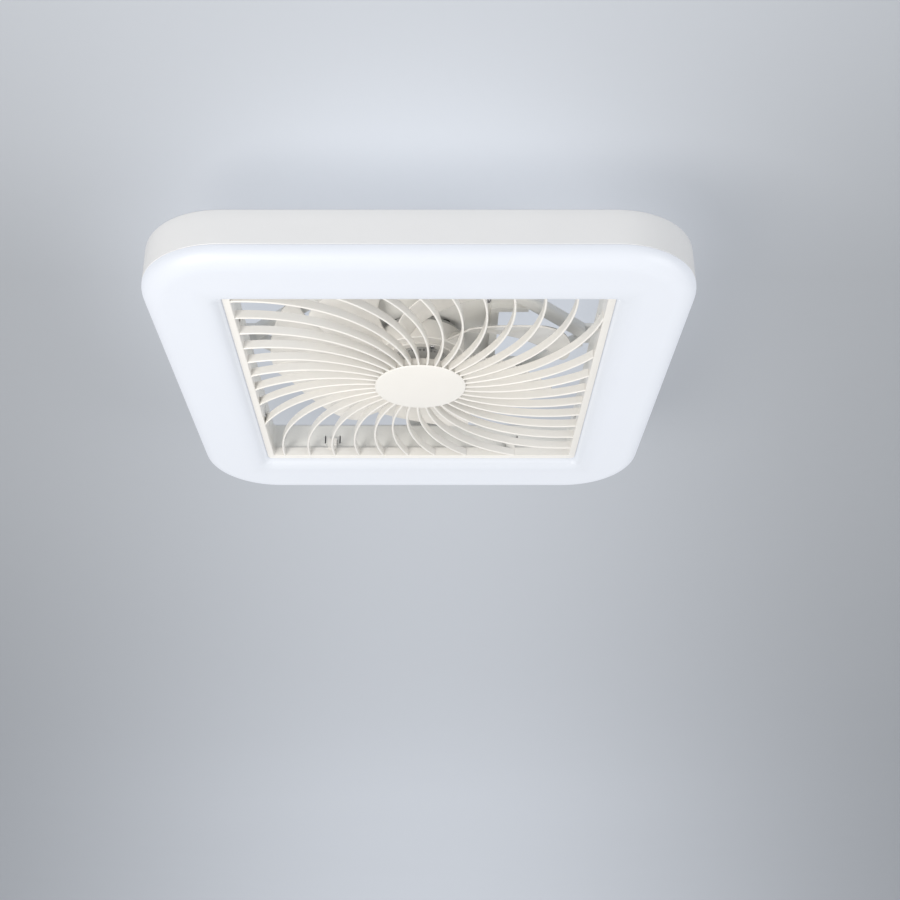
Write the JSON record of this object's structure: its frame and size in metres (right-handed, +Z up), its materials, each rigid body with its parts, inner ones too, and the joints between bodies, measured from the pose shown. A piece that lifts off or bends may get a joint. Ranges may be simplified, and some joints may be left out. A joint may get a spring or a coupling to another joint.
{
  "type": "ceiling fan light",
  "caption": "Square flush ceiling fan light: a glowing ring round a square opening with a swirl grille, over a bladed impeller hung from a canopy and ceiling plate.",
  "frame": {"origin": "centre of the ceiling screw pattern, on the upper face of the ceiling plate that lies against the ceiling", "axes": "+Z up out of the ceiling plate into the ceiling, +X and +Y along the sides of the square, the fixture hangs towards -Z"},
  "size_m": [0.5, 0.5, 0.145],
  "materials": {
    "body_white": "satin white",
    "diffuser": "frosted translucent, lit from behind",
    "tray_aluminium": "plain sheet",
    "strip_white": "white circuit board",
    "led_phosphor": "phosphor",
    "clip_plastic": "moulded",
    "duct_white": "moulded, semi-gloss",
    "steel": "turned",
    "lamination": "stacked sheet",
    "copper": "enamelled wire",
    "board_green": "circuit board",
    "motor_plate_grey": "satin grey",
    "rubber_black": "matte",
    "screw_steel": "bright zinc",
    "frame_white": "moulded",
    "canopy_white": "powder coat",
    "zinc": "zinc plated",
    "terminal_white": "moulded",
    "driver_white": "moulded",
    "controller_grey": "moulded",
    "impeller_white": "gloss moulded",
    "can_grey": "dark grey paint",
    "ferrite": "sintered",
    "bearing_steel": "ground",
    "grille_white": "satin gloss moulded"
  },
  "bodies": {
    "fixture": {"body_shell": "body_white", "diffuser_ring": "diffuser", "led_tray": "tray_aluminium", "led_strips": "strip_white", "led_chips": "led_phosphor", "diffuser_clips": "clip_plastic", "inner_duct": "duct_white", "motor_shaft": "steel", "end_clip": "steel", "stator_core": "lamination", "windings": "copper", "stator_board": "board_green", "motor_plate": "motor_plate_grey", "isolators": "rubber_black", "motor_screws": "screw_steel", "shaft_nut": "screw_steel", "rear_frame": "frame_white", "foot_screws": "screw_steel", "frame_screws": "screw_steel", "canopy": "canopy_white", "canopy_screws": "screw_steel", "ceiling_plate": "zinc", "cable_grommet": "rubber_black", "terminal_block": "terminal_white", "led_driver": "driver_white", "fan_controller": "controller_grey"},
    "rotor": {"impeller": "impeller_white", "rotor_can": "can_grey", "magnet_ring": "ferrite", "bearing_lower": "bearing_steel", "bearing_upper": "bearing_steel", "can_screws": "screw_steel"},
    "cover": {"grille": "grille_white", "hub_cap": "grille_white", "grille_clips": "grille_white"}
  },
  "joints": [
    {"name": "rotor_spin", "type": "hinge", "parent": "fixture", "child": "rotor", "pos_m": [0, 0, -0.102], "axis": [0, 0, 1], "continuous": true},
    {"name": "cover_pull", "type": "slide", "parent": "fixture", "child": "cover", "axis": [0, 0, -1], "range_m": [0, 0.1]}
  ]
}
